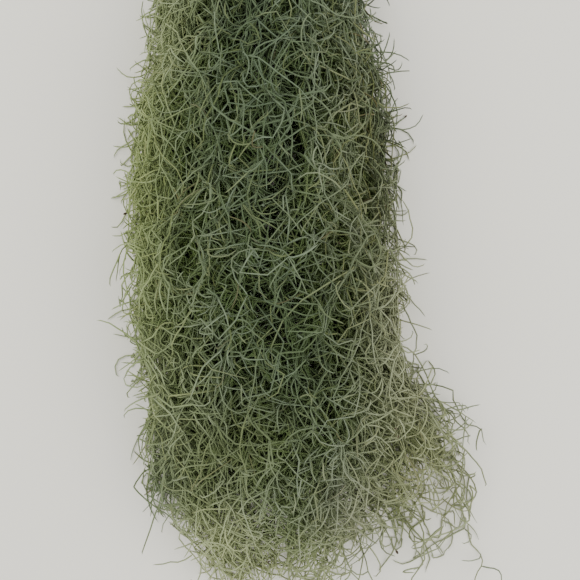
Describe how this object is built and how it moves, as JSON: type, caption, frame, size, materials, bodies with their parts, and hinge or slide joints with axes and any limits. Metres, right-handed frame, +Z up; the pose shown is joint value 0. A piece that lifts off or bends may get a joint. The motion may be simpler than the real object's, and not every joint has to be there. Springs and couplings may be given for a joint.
{
  "type": "spanish moss bunch",
  "caption": "Bunch of Spanish moss lying on its side: long grey-green tresses of wiry curling threads, gathered at one end and spreading into wisps.",
  "frame": {"origin": "on the surface that the bunch lies on, under the middle of its bounding box", "axes": "+Z is up, +Y points to the gathered head and -Y to the loose wisps, and +X is to the right seen from above with the head away from the viewer"},
  "size_m": [0.2796, 0.555, 0.1215],
  "materials": {
    "moss": "matte, covered in fine grey scales"
  },
  "bodies": {
    "root": {"bottom_tress_1": "moss", "bottom_tress_2": "moss", "bottom_tress_3": "moss", "bottom_tress_4": "moss", "bottom_tress_5": "moss", "bottom_tress_6": "moss", "bottom_tress_7": "moss", "lower_tress_1": "moss", "lower_tress_2": "moss", "lower_tress_3": "moss", "lower_tress_4": "moss", "lower_tress_5": "moss", "lower_tress_6": "moss", "upper_tress_1": "moss", "upper_tress_2": "moss", "upper_tress_3": "moss", "upper_tress_4": "moss", "upper_tress_5": "moss", "top_tress_1": "moss", "top_tress_2": "moss", "top_tress_3": "moss", "top_tress_4": "moss"}
  },
  "joints": []
}
